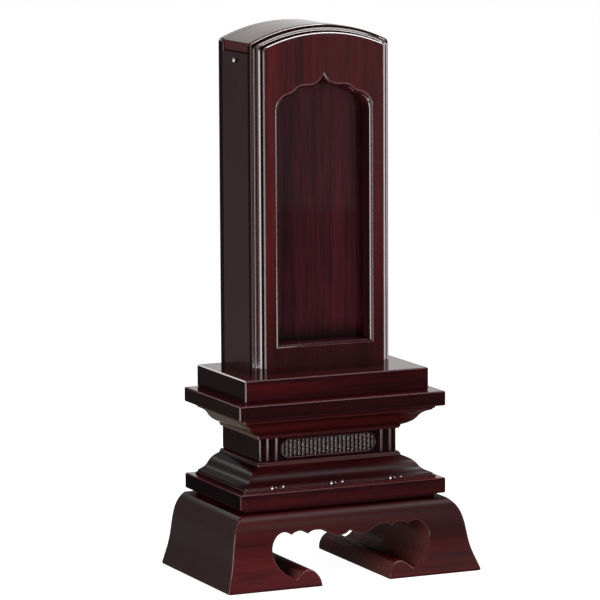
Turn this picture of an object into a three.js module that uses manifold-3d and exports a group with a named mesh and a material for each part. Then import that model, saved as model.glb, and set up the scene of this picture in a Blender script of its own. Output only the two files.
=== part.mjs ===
// Memorial tablet box: an arched box of thin tablets on a tiered pedestal.
// Millimetres, +Z up. The front faces -Y. The origin is the middle of the footprint, on the ground.

import * as THREE from 'three';
import { mergeVertices } from 'three/addons/utils/BufferGeometryUtils.js';
import Module from 'manifold-3d';

const wasm = await Module();
wasm.setup();

// Heights of the tiers, from the ground up
const footHeight = 19.0;
const neckHeight = 1.2;
const lowerSlabHeight = 4.1;
const lowerStepHeight = 0.7;
const lowerMouldingHeight = 5.6;
const waistHeight = 6.3;
const upperMouldingHeight = 5.9;
const upperStepHeight = 0.8;
const upperSlabHeight = 3.9;
const seatSlabHeight = 6.0;

// Plan sizes of the pedestal. The tiers stand nearly flush at the back.
const slabWidth = 59.3;
const slabDepth = 37.1;
const footTopMargin = 0.15;
const footSideFlare = 6.8;
const footFrontFlare = 7.55;
const footBackMargin = 0.65;
const seatSlabWidth = 52.8;
const seatFrontSetback = 3.7;
const seatBackSetback = 1.2;
const waistWidth = 39.6;
const waistFrontSetback = 9.85;
const waistBackSetback = 2.55;
const neckSetback = 2.2;
const mouldingReach = 7.4;
const stepReach = 7.95;
const arrisRadius = 0.35;
const footArris = 0.5;

// Kozama tunnel through the foot, seen from the front
const tunnelHalfWidth = 22.6;
const tunnelPointHeight = 13.65;
const toeGap = 19.6;

// Carving of the waist
const fluteWidth = 0.8;
const fluteDepth = 0.5;
const fluteOffsets = [2.0, 4.55];
const panelLength = 27.1;
const panelHeight = 4.45;
const panelDepth = 1.0;
const reedCount = 22;
const reedLift = 0.7;

// Box
const boxWidth = 39.0;
const boxDepth = 24.55;
const boxHeight = 90.9;
const archRadius = 44.5;
const wallThickness = 2.5;
const backThickness = 3.2;
const floorThickness = 2.3;
const frameThickness = 4.6;
const frameSideLip = 0.35;
const frameCornerRadius = 1.2;
const frameMouldingWidth = 2.75;
const frameMouldingDepth = 3.15;

// Window in the front frame
const windowWidth = 28.0;
const windowSill = 6.7;
const windowTopDrop = 12.35;
const windowHeadHeight = 9.4;
const windowEdge = 0.94;

// Lid and its cleats
const lidEndHeight = 2.4;
const lidGap = 0.3;
const lidBackGap = 0.5;
const lidEndInset = 0.2;
const cleatThickness = 1.1;
const cleatDrop = 4.5;
const cleatLength = 11.0;
const cleatPocketDepth = 1.4;
const cleatGap = 0.2;
const cleatPocketEndGap = 0.4;

// Pins
const pinDrop = 2.45;
const pinShankDiameter = 0.8;
const pinHeadDiameter = 1.15;
const pinHeadProud = 1.0;
const pinTip = 0.1;
const pinClearance = 0.2;

// Tablets
const frontTabletThickness = 1.9;
const plainTabletThickness = 1.5;
const plainTabletCount = 8;
const tabletSideClearance = 0.5;
const tabletHeadroom = 0.5;
const tabletShoulderDrop = 5.8;
const tabletSeatGap = 0.2;

// Hidden joinery
const tenonWidth = 14.0;
const tenonDepth = 9.0;
const tenonLength = 14.0;
const dowelDiameter = 5.0;
const dowelSpacing = 22.0;
const dowelFootDepth = 3.2;
const dowelWaistDepth = 3.4;
const joineryClearance = 0.3;

// Levels that follow from the heights
const neckZ = footHeight;
const lowerSlabZ = neckZ + neckHeight;
const lowerStepZ = lowerSlabZ + lowerSlabHeight;
const lowerMouldingZ = lowerStepZ + lowerStepHeight;
const waistZ = lowerMouldingZ + lowerMouldingHeight;
const upperMouldingZ = waistZ + waistHeight;
const upperStepZ = upperMouldingZ + upperMouldingHeight;
const upperSlabZ = upperStepZ + upperStepHeight;
const seatSlabZ = upperSlabZ + upperSlabHeight;
const boxZ = seatSlabZ + seatSlabHeight;
const apexZ = boxZ + boxHeight;
const floorTopZ = boxZ + floorThickness;

// Front and back faces that follow from the depths
const footTopDepth = footBackMargin + slabDepth + footTopMargin;
const backY = (footTopDepth + footFrontFlare) / 2;
const slabBackY = backY - footBackMargin;
const slabFrontY = slabBackY - slabDepth;
const seatBackY = slabBackY - seatBackSetback;
const seatFrontY = slabFrontY + seatFrontSetback;
const waistBackY = slabBackY - waistBackSetback;
const waistFrontY = slabFrontY + waistFrontSetback;
const boxFrontY = seatBackY - boxDepth;
const frameBackY = boxFrontY + frameThickness;
const cavityBackY = seatBackY - backThickness;
const joineryY = (waistFrontY + waistBackY) / 2;

// Half widths
const slabHalf = slabWidth / 2;
const seatHalf = seatSlabWidth / 2;
const waistHalf = waistWidth / 2;
const boxHalf = boxWidth / 2;
const cavityHalf = boxHalf - wallThickness;
const frameHalf = boxHalf + frameSideLip;

const colours = {
  rosewood: 0x2b1013,
  plainWood: 0xc9a678,
  metal: 0xb9b4a8,
};

const rosewood = new THREE.MeshStandardMaterial({ color: colours.rosewood, roughness: 0.22, metalness: 0 });
const plainWood = new THREE.MeshStandardMaterial({ color: colours.plainWood, roughness: 0.7, metalness: 0 });
const pinMetal = new THREE.MeshStandardMaterial({ color: colours.metal, roughness: 0.25, metalness: 1 });

// Closed solid through rings of points, capped at both ends. flat gives a ring point's place in its cap.
function loft(rings, flat) {
  const count = rings[0].length;
  const positions = [];
  const index = [];
  for (const ring of rings) {
    for (const point of ring) positions.push(point.x, point.y, point.z);
  }
  for (let k = 0; k < rings.length - 1; k++) {
    for (let i = 0; i < count; i++) {
      const j = (i + 1) % count;
      const a = k * count + i;
      const b = k * count + j;
      index.push(a, b, b + count, a, b + count, a + count);
    }
  }
  for (const [ring, first, front] of [[rings[0], 0, true], [rings.at(-1), (rings.length - 1) * count, false]]) {
    const outline = ring.map(flat);
    const turned = THREE.ShapeUtils.isClockWise(outline);
    for (const [a, b, c] of THREE.ShapeUtils.triangulateShape(outline, [])) {
      if (front !== turned) index.push(first + c, first + b, first + a);
      else index.push(first + a, first + b, first + c);
    }
  }
  const geometry = new THREE.BufferGeometry();
  geometry.setAttribute('position', new THREE.Float32BufferAttribute(positions, 3));
  geometry.setIndex(index);
  if (signedVolume(geometry) < 0) {
    for (let i = 0; i < index.length; i += 3) [index[i], index[i + 1]] = [index[i + 1], index[i]];
    geometry.setIndex(index);
  }
  return geometry;
}

function signedVolume(geometry) {
  const position = geometry.attributes.position;
  const [a, b, c] = [new THREE.Vector3(), new THREE.Vector3(), new THREE.Vector3()];
  let volume = 0;
  for (let i = 0; i < geometry.index.count; i += 3) {
    a.fromBufferAttribute(position, geometry.index.getX(i));
    b.fromBufferAttribute(position, geometry.index.getX(i + 1));
    c.fromBufferAttribute(position, geometry.index.getX(i + 2));
    volume += a.dot(b.cross(c)) / 6;
  }
  return volume;
}

// Booleans
function solid(geometry) {
  const bare = geometry.clone();
  bare.deleteAttribute('normal');
  bare.deleteAttribute('uv');
  const merged = mergeVertices(bare, 1e-5);
  return new wasm.Manifold(new wasm.Mesh({
    numProp: 3,
    vertProperties: new Float32Array(merged.attributes.position.array),
    triVerts: new Uint32Array(merged.index.array),
  }));
}

function surface(body) {
  const mesh = body.getMesh();
  const geometry = new THREE.BufferGeometry();
  geometry.setAttribute('position', new THREE.BufferAttribute(mesh.vertProperties, 3));
  geometry.setIndex(new THREE.BufferAttribute(mesh.triVerts, 1));
  return geometry;
}

function cut(geometry, ...tools) {
  return surface(tools.reduce((body, tool) => body.subtract(solid(tool)), solid(geometry)));
}

function box(x0, x1, y0, y1, z0, z1) {
  return new THREE.BoxGeometry(x1 - x0, y1 - y0, z1 - z0).translate((x0 + x1) / 2, (y0 + y1) / 2, (z0 + z1) / 2);
}

// Prism from an outline in the XZ plane, running along Y
function prism(outline, frontY, endY) {
  const shape = new THREE.Shape(outline);
  return new THREE.ExtrudeGeometry(shape, { depth: endY - frontY, bevelEnabled: false })
    .rotateX(Math.PI / 2)
    .translate(0, endY, 0);
}

// Rectangle in plan with rounded corners, at one height
function planRing(half, front, back, z, corner) {
  const ring = [];
  const steps = 2;
  const centres = [
    [half - corner, back - corner, 0],
    [-half + corner, back - corner, Math.PI / 2],
    [-half + corner, front + corner, Math.PI],
    [half - corner, front + corner, 1.5 * Math.PI],
  ];
  for (const [x, y, start] of centres) {
    for (let i = 0; i <= steps; i++) {
      const angle = start + (i / steps) * Math.PI / 2;
      ring.push(new THREE.Vector3(x + corner * Math.cos(angle), y + corner * Math.sin(angle), z));
    }
  }
  return ring;
}

const inPlan = (point) => new THREE.Vector2(point.x, point.y);
const inElevation = (point) => new THREE.Vector2(point.x, point.z);

// Board with rounded arrises all round
function board(half, front, back, z0, z1, radius = arrisRadius) {
  const rings = [];
  const steps = 2;
  for (const [edge, sign] of [[z0, 1], [z1, -1]]) {
    const rounding = [];
    for (let i = 0; i <= steps; i++) {
      const angle = (i / steps) * Math.PI / 2;
      const inset = radius * (1 - Math.sin(angle));
      const z = edge + sign * radius * (1 - Math.cos(angle));
      rounding.push(planRing(half - inset, front + inset, back - inset, z, radius));
    }
    rings.push(...(sign > 0 ? rounding : rounding.reverse()));
  }
  return loft(rings, inPlan);
}

// Points along a chain of Bezier curves, without repeating the joints
function chain(curves, steps) {
  const points = [curves[0].getPoint(0)];
  for (const curve of curves) points.push(...curve.getPoints(steps).slice(1));
  return points;
}

const bezier = (...p) => new THREE.CubicBezierCurve(
  new THREE.Vector2(p[0], p[1]),
  new THREE.Vector2(p[2], p[3]),
  new THREE.Vector2(p[4], p[5]),
  new THREE.Vector2(p[6], p[7]),
);

// Foot

// Share of the flare (x) at a share of the foot's height (y)
const footProfile = chain([
  bezier(1, 0, 0.82, 0.19, 0.696, 0.282, 0.619, 0.453),
  bezier(0.619, 0.453, 0.494, 0.732, 0.451, 0.896, 0, 1),
], 9);

function footBlock() {
  const topHalf = slabHalf + footTopMargin;
  const topFront = slabFrontY - footTopMargin;
  const rings = footProfile.map(({ x: share, y: rise }) => planRing(
    topHalf + share * footSideFlare,
    topFront - share * footFrontFlare,
    backY,
    rise * footHeight,
    footArris,
  ));
  return loft(rings, inPlan);
}

// Half outline of the tunnel, from the middle of its top edge to the ground between the toes,
// in shares of its half width and of the height of its middle point
const tunnelCurves = chain([
  bezier(0, 1, 0.044, 0.919, 0.088, 0.901, 0.164, 0.901),
  bezier(0.164, 0.901, 0.274, 0.912, 0.292, 1.04, 0.412, 1.044),
  bezier(0.412, 1.044, 0.469, 1.044, 0.504, 1.029, 0.535, 0.985),
  bezier(0.535, 0.985, 0.566, 1.033, 0.602, 1.055, 0.642, 1.051),
  bezier(0.642, 1.051, 0.681, 1.044, 0.717, 1.029, 0.741, 0.993),
  bezier(0.741, 0.993, 0.805, 1.077, 0.876, 1.066, 0.929, 0.985),
  bezier(0.929, 0.985, 0.978, 0.912, 1, 0.81, 1, 0.729),
  bezier(1, 0.729, 1, 0.454, 0.872, 0.227, 0.743, 0.176),
  bezier(0.743, 0.176, 0.699, 0.234, 0.655, 0.33, 0.575, 0.33),
  bezier(0.575, 0.33, 0.496, 0.33, 0.416, 0.161, 0.434, 0),
], 5);

function tunnelHalf() {
  const half = tunnelCurves.map(({ x, y }) => new THREE.Vector2(x * tunnelHalfWidth, y * tunnelPointHeight));
  half[half.length - 1].x = toeGap / 2;
  return half;
}

function mirrored(half) {
  const other = half.slice(1).reverse().map(({ x, y }) => new THREE.Vector2(-x, y));
  return [...other, ...half];
}

function foot() {
  const half = tunnelHalf();
  const overrun = 2;
  half.push(new THREE.Vector2(toeGap / 2, -overrun));
  const tunnel = prism(mirrored(half), -backY - overrun, backY + overrun);
  return cut(footBlock(), tunnel, ...dowelHoles());
}

// Dowels through the lower tiers
function dowelRod(side, radius, z0, z1) {
  return new THREE.CylinderGeometry(radius, radius, z1 - z0, 20)
    .rotateX(Math.PI / 2)
    .translate(side * dowelSpacing / 2, joineryY, (z0 + z1) / 2);
}

const dowelBottomZ = footHeight - dowelFootDepth;
const dowelTopZ = waistZ + dowelWaistDepth;

function dowelHoles() {
  const radius = dowelDiameter / 2 + joineryClearance;
  return [-1, 1].map((side) => dowelRod(side, radius, dowelBottomZ - joineryClearance, dowelTopZ + joineryClearance));
}

// Tenon under the box, let into the upper tiers
const tenonBottomZ = boxZ - tenonLength;

function tenonBlock(clearance) {
  return box(
    -tenonWidth / 2 - clearance, tenonWidth / 2 + clearance,
    joineryY - tenonDepth / 2 - clearance, joineryY + tenonDepth / 2 + clearance,
    tenonBottomZ - clearance, boxZ + clearance,
  );
}

// Cyma edge of the mouldings, as shares of its reach out of the waist's face and of its height
const cyma = [
  new THREE.Vector2(1, 0),
  ...chain([
    bezier(1, 0.071, 0.824, 0.143, 0.689, 0.241, 0.615, 0.393),
    bezier(0.615, 0.393, 0.527, 0.58, 0.419, 0.705, 0.142, 0.839),
  ], 6),
  new THREE.Vector2(0.142, 0.938),
  new THREE.Vector2(0.101, 1),
];

function moulding(z, height, upward) {
  const rings = cyma.map(({ x, y }) => {
    const reach = x * mouldingReach;
    const rise = y * height;
    return planRing(
      waistHalf + reach,
      waistFrontY - reach,
      waistBackY,
      upward ? z + rise : z + height - rise,
      footArris,
    );
  });
  return loft(rings, inPlan);
}

// Slab with a low step against its neighbouring moulding
function steppedSlab(z, stepAbove) {
  const height = stepAbove ? lowerSlabHeight : upperSlabHeight;
  const slab = board(slabHalf, slabFrontY, slabBackY, z, z + height);
  const half = waistHalf + stepReach;
  const front = waistFrontY - stepReach;
  const overlap = 1;
  const step = stepAbove
    ? loft([
      planRing(half, front, waistBackY, z + height - overlap, arrisRadius),
      planRing(half, front, waistBackY, z + height + lowerStepHeight, arrisRadius),
    ], inPlan)
    : loft([
      planRing(half, front, waistBackY, z - upperStepHeight, arrisRadius),
      planRing(half, front, waistBackY, z + overlap, arrisRadius),
    ], inPlan);
  return surface(solid(slab).add(solid(step)));
}

// Waist with two flutes at each end of its front and a sunk panel of upright reeds
function stadium(length, height, x, z) {
  const radius = height / 2;
  const shape = new THREE.Shape();
  shape.absarc(x - length / 2 + radius, z, radius, Math.PI / 2, 1.5 * Math.PI);
  shape.absarc(x + length / 2 - radius, z, radius, -Math.PI / 2, Math.PI / 2);
  return shape.getPoints(8);
}

function waistBlock() {
  const centreZ = waistZ + waistHeight / 2;
  const half = panelLength / 2;
  const flutes = fluteOffsets.flatMap((offset) => [-1, 1].map((side) => new THREE.CylinderGeometry(
    fluteWidth / 2, fluteWidth / 2, waistHeight + 2, 10,
  ).scale(1, 1, fluteDepth / (fluteWidth / 2))
    .rotateX(Math.PI / 2)
    .translate(side * (waistHalf - offset), waistFrontY, centreZ)));
  const block = board(waistHalf, waistFrontY, waistBackY, waistZ, waistZ + waistHeight, arrisRadius);
  const panel = prism(stadium(panelLength, panelHeight, 0, centreZ), waistFrontY - 1, waistFrontY + panelDepth);
  const reedPitch = panelLength / reedCount;
  const reedReach = prism(
    stadium(panelLength + 0.2, panelHeight + 0.2, 0, centreZ),
    waistFrontY,
    waistFrontY + panelDepth + 0.5,
  );
  let carved = solid(cut(block, panel, ...flutes, ...dowelHoles()));
  for (let i = 0; i < reedCount; i++) {
    const x = -half + (i + 0.5) * reedPitch;
    const reed = new THREE.CylinderGeometry(reedPitch * 0.42, reedPitch * 0.42, panelHeight, 8)
      .scale(1, 1, reedLift / (reedPitch * 0.42))
      .rotateX(Math.PI / 2)
      .translate(x, waistFrontY + panelDepth, centreZ);
    carved = carved.add(solid(reed).intersect(solid(reedReach)));
  }
  return surface(carved);
}

// Arched outline of the box seen from the front, drawn in by inset, from bottom left round to bottom right
function archOutline(halfWidth, bottomZ, inset, corner) {
  const half = halfWidth - inset;
  const radius = archRadius - inset;
  const centreZ = apexZ - archRadius;
  const filletZ = centreZ + Math.sqrt((radius - corner) ** 2 - (half - corner) ** 2);
  const tangent = Math.atan2(filletZ - centreZ, half - corner);
  const points = [new THREE.Vector2(-half, bottomZ)];
  const filletSteps = 3;
  const archSteps = 16;
  for (let i = 0; i <= filletSteps; i++) {
    const angle = Math.PI - (i / filletSteps) * (tangent);
    points.push(new THREE.Vector2(-half + corner + corner * Math.cos(angle), filletZ + corner * Math.sin(angle)));
  }
  for (let i = 1; i < archSteps; i++) {
    const angle = Math.PI - tangent - (i / archSteps) * (Math.PI - 2 * tangent);
    points.push(new THREE.Vector2(radius * Math.cos(angle), centreZ + radius * Math.sin(angle)));
  }
  for (let i = 0; i <= filletSteps; i++) {
    const angle = tangent - (i / filletSteps) * tangent;
    points.push(new THREE.Vector2(half - corner + corner * Math.cos(angle), filletZ + corner * Math.sin(angle)));
  }
  points.push(new THREE.Vector2(half, bottomZ));
  return points;
}

const raise = (outline, y) => outline.map((point) => new THREE.Vector3(point.x, y, point.y));

// Stepped moulding round the frame, as shares of its width in from the edge and of its depth
const frameSteps = [
  [0, 1],
  [0.036, 0.937],
  [0.11, 0.905],
  [0.218, 0.905],
  [0.218, 0.746],
  [0.255, 0.667],
  [0.345, 0.635],
  [0.636, 0.635],
  [0.764, 0.54],
  [0.891, 0.381],
  [0.891, 0.095],
  [0.927, 0.032],
  [1, 0],
];

// Head of the window, as shares of its half width and of its height down from the point
const windowHead = chain([
  bezier(0, 0, 0.064, 0.144, 0.157, 0.298, 0.286, 0.303),
  bezier(0.286, 0.303, 0.429, 0.309, 0.514, 0.293, 0.6, 0.415),
  bezier(0.6, 0.415, 0.686, 0.543, 0.729, 0.505, 0.814, 0.564),
  bezier(0.814, 0.564, 0.914, 0.638, 1, 0.787, 1, 1),
], 5);

// Cusped window, drawn in by inset
function windowOutline(inset) {
  const half = windowWidth / 2 - inset;
  const top = apexZ - windowTopDrop - inset;
  const right = windowHead.map(({ x, y }) => new THREE.Vector2(x * half, top - y * windowHeadHeight));
  right.push(new THREE.Vector2(half, boxZ + windowSill + inset));
  return mirrored(right);
}

// Rounded edge of the window, as shares of its width in from the opening's edge and of its depth
const windowSteps = [
  [0, 0.21],
  [0.372, 0.266],
  [0.745, 0.447],
  [1, 1],
];

function frontFrame() {
  const overrun = 1;
  const outline = (inset, back) => raise(archOutline(frameHalf, boxZ, inset, frameCornerRadius), boxFrontY + back);
  const opening = (inset, back) => raise(windowOutline(inset), boxFrontY + back);
  const block = loft([
    outline(0, frameThickness),
    ...frameSteps.map(([across, depth]) => outline(across * frameMouldingWidth, depth * frameMouldingDepth)),
  ], inElevation);
  const cutter = loft([
    opening(0, -overrun),
    ...windowSteps.map(([across, depth]) => opening(across * windowEdge, depth * windowEdge)),
    opening(windowEdge, frameThickness + overrun),
  ], inElevation);
  return cut(block, cutter);
}

function backBoard() {
  return prism(archOutline(boxHalf, boxZ, 0, frameCornerRadius), cavityBackY, seatBackY);
}

// Walls, lid, cleats and pins

// Height at which the arch meets a wall's outer face
const springZ = apexZ - archRadius + Math.sqrt(archRadius ** 2 - boxHalf ** 2);
const wallTopZ = springZ - lidEndHeight - lidGap;
const lidBottomZ = wallTopZ + lidGap;
const lidFrontY = frameBackY + lidGap;
const lidRearY = cavityBackY - lidBackGap;
const pinY = (lidFrontY + lidRearY) / 2;
const pinZ = lidBottomZ - pinDrop;

function pinBore(side) {
  const radius = pinShankDiameter / 2 + pinClearance;
  return new THREE.CylinderGeometry(radius, radius, wallThickness + 4, 12)
    .rotateZ(Math.PI / 2)
    .translate(side * (boxHalf - wallThickness / 2), pinY, pinZ);
}

// The wall has a pocket in its inner face, open at the top, that takes the lid's cleat
function wall(side) {
  const inner = side * cavityHalf;
  const outer = side * boxHalf;
  const overrun = 1;
  const pocketMouth = side * (cavityHalf - overrun);
  const pocketFace = side * (cavityHalf + cleatPocketDepth);
  const panel = box(Math.min(inner, outer), Math.max(inner, outer), frameBackY, cavityBackY, boxZ, wallTopZ);
  const pocket = box(
    Math.min(pocketMouth, pocketFace), Math.max(pocketMouth, pocketFace),
    pinY - cleatLength / 2 - cleatPocketEndGap, pinY + cleatLength / 2 + cleatPocketEndGap,
    lidBottomZ - cleatDrop - cleatPocketEndGap, wallTopZ + overrun,
  );
  return cut(panel, pocket, pinBore(side));
}

function lid() {
  const half = boxHalf - lidEndInset;
  const centreZ = apexZ - archRadius;
  const endAngle = Math.acos(half / archRadius);
  const steps = 20;
  const outline = [new THREE.Vector2(-half, lidBottomZ)];
  for (let i = 0; i <= steps; i++) {
    const angle = Math.PI - endAngle - (i / steps) * (Math.PI - 2 * endAngle);
    outline.push(new THREE.Vector2(archRadius * Math.cos(angle), centreZ + archRadius * Math.sin(angle)));
  }
  outline.push(new THREE.Vector2(half, lidBottomZ));
  return prism(outline, lidFrontY, lidRearY);
}

// The cleat's slot is open below, so that it drops over the pin
const cleatOuter = cavityHalf + cleatPocketDepth - cleatGap;
const cleatInner = cleatOuter - cleatThickness;

function cleat(side) {
  const inner = side * cleatInner;
  const outer = side * cleatOuter;
  const bar = box(
    Math.min(inner, outer), Math.max(inner, outer),
    pinY - cleatLength / 2, pinY + cleatLength / 2,
    lidBottomZ - cleatDrop, lidBottomZ,
  );
  const slotHalf = pinShankDiameter / 2 + pinClearance;
  const round = new THREE.CylinderGeometry(slotHalf, slotHalf, cleatThickness + 2, 12)
    .rotateZ(Math.PI / 2)
    .translate((inner + outer) / 2, pinY, pinZ);
  const mouth = box(
    Math.min(inner, outer) - 1, Math.max(inner, outer) + 1,
    pinY - slotHalf, pinY + slotHalf,
    lidBottomZ - cleatDrop - 1, pinZ,
  );
  return cut(bar, round, mouth);
}

function pin(side) {
  const shank = pinShankDiameter / 2;
  const head = pinHeadDiameter / 2;
  const length = boxHalf - cleatInner + pinTip;
  const headBack = 0.15;
  const profile = [
    new THREE.Vector2(0, -length),
    new THREE.Vector2(shank * 0.6, -length),
    new THREE.Vector2(shank, -length + shank),
    new THREE.Vector2(shank, headBack),
  ];
  const steps = 5;
  const centre = pinHeadProud - head;
  const start = Math.asin((headBack - centre) / head);
  for (let i = 0; i <= steps; i++) {
    const angle = start + (i / steps) * (Math.PI / 2 - start);
    profile.push(new THREE.Vector2(Math.max(head * Math.cos(angle), 0), centre + head * Math.sin(angle)));
  }
  profile[profile.length - 1].x = 0;
  return new THREE.LatheGeometry(profile, 14)
    .rotateZ(-side * Math.PI / 2)
    .translate(side * boxHalf, pinY, pinZ);
}

// Tablets stand on the floor in a row, the front one against the frame
const tabletHalf = cavityHalf - tabletSideClearance;
const tabletBottomZ = floorTopZ + tabletSeatGap;
const tabletTopZ = lidBottomZ - tabletHeadroom;
const tabletRowDepth = frontTabletThickness + plainTabletCount * plainTabletThickness;
const tabletGap = (cavityBackY - frameBackY - tabletRowDepth) / (plainTabletCount + 2);

function tabletOutline() {
  const radius = (tabletHalf ** 2 + tabletShoulderDrop ** 2) / (2 * tabletShoulderDrop);
  const centreZ = tabletTopZ - radius;
  const endAngle = Math.acos(tabletHalf / radius);
  const steps = 12;
  const outline = [new THREE.Vector2(-tabletHalf, tabletBottomZ)];
  for (let i = 0; i <= steps; i++) {
    const angle = Math.PI - endAngle - (i / steps) * (Math.PI - 2 * endAngle);
    outline.push(new THREE.Vector2(radius * Math.cos(angle), centreZ + radius * Math.sin(angle)));
  }
  outline.push(new THREE.Vector2(tabletHalf, tabletBottomZ));
  return outline;
}

function tablet(place) {
  const front = place === 0
    ? frameBackY + tabletGap
    : frameBackY + 2 * tabletGap + frontTabletThickness + (place - 1) * (plainTabletThickness + tabletGap);
  const thickness = place === 0 ? frontTabletThickness : plainTabletThickness;
  return prism(tabletOutline(), front, front + thickness);
}

// Assembly
const group = new THREE.Group();

function add(name, geometry, material) {
  const mesh = new THREE.Mesh(geometry, material);
  mesh.name = name;
  group.add(mesh);
}

add('foot', foot(), rosewood);
add('neck_board', cut(
  board(slabHalf - neckSetback, slabFrontY + neckSetback, slabBackY - neckSetback, neckZ, lowerSlabZ, neckHeight / 4),
  ...dowelHoles(),
), rosewood);
add('lower_slab', cut(steppedSlab(lowerSlabZ, true), ...dowelHoles()), rosewood);
add('lower_moulding', cut(moulding(lowerMouldingZ, lowerMouldingHeight, true), ...dowelHoles()), rosewood);
add('waist_block', waistBlock(), rosewood);
add('upper_moulding', cut(moulding(upperMouldingZ, upperMouldingHeight, false), tenonBlock(joineryClearance)), rosewood);
add('upper_slab', cut(steppedSlab(upperSlabZ, false), tenonBlock(joineryClearance)), rosewood);
add('seat_slab', cut(board(seatHalf, seatFrontY, seatBackY, seatSlabZ, boxZ), tenonBlock(joineryClearance)), rosewood);
add('left_dowel', dowelRod(-1, dowelDiameter / 2, dowelBottomZ, dowelTopZ), plainWood);
add('right_dowel', dowelRod(1, dowelDiameter / 2, dowelBottomZ, dowelTopZ), plainWood);
add('box_tenon', tenonBlock(0), plainWood);
add('floor_board', box(-cavityHalf, cavityHalf, frameBackY, cavityBackY, boxZ, floorTopZ), plainWood);
add('left_wall', wall(-1), rosewood);
add('right_wall', wall(1), rosewood);
add('back_board', backBoard(), rosewood);
add('front_frame', frontFrame(), rosewood);
add('lid', lid(), rosewood);
add('left_cleat', cleat(-1), rosewood);
add('right_cleat', cleat(1), rosewood);
add('left_pin', pin(-1), pinMetal);
add('right_pin', pin(1), pinMetal);
add('front_tablet', tablet(0), rosewood);
for (let place = 1; place <= plainTabletCount; place++) add(`plain_tablet_${place}`, tablet(place), plainWood);

export default group;
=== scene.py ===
import math

import bmesh
import bpy
from mathutils import Matrix, Vector
from mathutils.geometry import tessellate_polygon


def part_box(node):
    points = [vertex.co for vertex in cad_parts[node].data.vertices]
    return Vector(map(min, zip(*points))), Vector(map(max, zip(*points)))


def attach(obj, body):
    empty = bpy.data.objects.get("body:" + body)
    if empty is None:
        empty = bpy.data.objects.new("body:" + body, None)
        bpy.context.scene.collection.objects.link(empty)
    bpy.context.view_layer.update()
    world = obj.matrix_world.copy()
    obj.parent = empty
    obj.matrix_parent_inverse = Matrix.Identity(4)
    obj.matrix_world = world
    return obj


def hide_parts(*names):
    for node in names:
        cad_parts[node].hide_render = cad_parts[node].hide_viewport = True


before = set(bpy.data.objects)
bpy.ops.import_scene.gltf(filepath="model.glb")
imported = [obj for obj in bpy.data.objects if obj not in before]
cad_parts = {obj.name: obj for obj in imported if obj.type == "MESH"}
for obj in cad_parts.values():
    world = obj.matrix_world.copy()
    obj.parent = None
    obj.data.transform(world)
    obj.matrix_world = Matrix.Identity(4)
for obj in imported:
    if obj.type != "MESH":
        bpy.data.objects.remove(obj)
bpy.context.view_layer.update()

mm = 0.001

# Foot: one block of rosewood, sawn to an S-curve on three faces and left flat at the back.
# A cusped tunnel runs through it from front to back, its edges softened before lacquering.
foot_low, foot_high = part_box("foot")
foot_height = foot_high.z
foot_top_half, foot_top_front = 29.8 * mm, -15.175 * mm
foot_corner, foot_base_round, base_steps = 0.5 * mm, 0.7 * mm, 6
tunnel_point, tunnel_half_width = 13.65, 22.6
tunnel_edge, tunnel_ceiling = 0.3 * mm, 15 * mm


def bezier_chain(curves, steps):
    """Points (x, z) along cubic curves that follow each other."""
    points = [Vector(curves[0][0:2])]
    for c in curves:
        p0, p1, p2, p3 = Vector(c[0:2]), Vector(c[2:4]), Vector(c[4:6]), Vector(c[6:8])
        for i in range(1, steps + 1):
            t = i / steps
            u = 1 - t
            points.append(
                u * u * u * p0 + 3 * u * u * t * p1 + 3 * u * t * t * p2 + t * t * t * p3)
    return points


def mirrored(half):
    """A full outline from its right half, which starts on the middle line."""
    return [Vector((-p.x, p.y)) for p in reversed(half[1:])] + list(half)


def plan_ring(half, front, back, z, corner, steps=5):
    """A rectangle seen from above, with rounded corners, at height z."""
    ring = []
    centres = (
        (half - corner, back - corner, 0),
        (-half + corner, back - corner, 90),
        (-half + corner, front + corner, 180),
        (half - corner, front + corner, 270),
    )
    for x, y, start in centres:
        for i in range(steps + 1):
            a = math.radians(start + 90 * i / steps)
            ring.append(Vector((x + corner * math.cos(a), y + corner * math.sin(a), z)))
    return ring


def loft(name, rings):
    """A closed solid through rings of points."""
    bm = bmesh.new()
    made = [[bm.verts.new(p) for p in ring] for ring in rings]
    for lower, upper in zip(made, made[1:]):
        join_rings(bm, lower, upper)
    bm.faces.new(list(reversed(made[0])))
    bm.faces.new(made[-1])
    return from_bmesh(name, bm)


def join_rings(bm, lower, upper):
    """A band of faces between two rings with the same count of points."""
    for i in range(len(lower)):
        j = (i + 1) % len(lower)
        bm.faces.new((lower[i], lower[j], upper[j], upper[i]))


def from_bmesh(name, bm):
    bmesh.ops.recalc_face_normals(bm, faces=bm.faces)
    mesh = bpy.data.meshes.new(name)
    bm.to_mesh(mesh)
    bm.free()
    piece = bpy.data.objects.new(name, mesh)
    bpy.context.scene.collection.objects.link(piece)
    return piece


def apply_modifiers(piece):
    graph = bpy.context.evaluated_depsgraph_get()
    mesh = bpy.data.meshes.new_from_object(piece.evaluated_get(graph))
    piece.modifiers.clear()
    piece.data = mesh
    return piece


def combine(piece, tool, operation="DIFFERENCE"):
    """Cuts the tool out of the piece, or keeps what both share."""
    modifier = piece.modifiers.new("combine", "BOOLEAN")
    modifier.operation = operation
    modifier.solver = "EXACT"
    modifier.object = tool
    apply_modifiers(piece)
    bpy.data.objects.remove(tool)


def smooth(piece, angle=32):
    """Shades round forms round and flat faces flat. Arrises above this angle stay crisp."""
    piece.data.polygons.foreach_set("use_smooth", [True] * len(piece.data.polygons))
    piece.data.set_sharp_from_angle(angle=math.radians(angle))
    modifier = piece.modifiers.new("flat faces lead", "WEIGHTED_NORMAL")
    modifier.keep_sharp = True
    modifier.weight = 100
    return apply_modifiers(piece)


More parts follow.
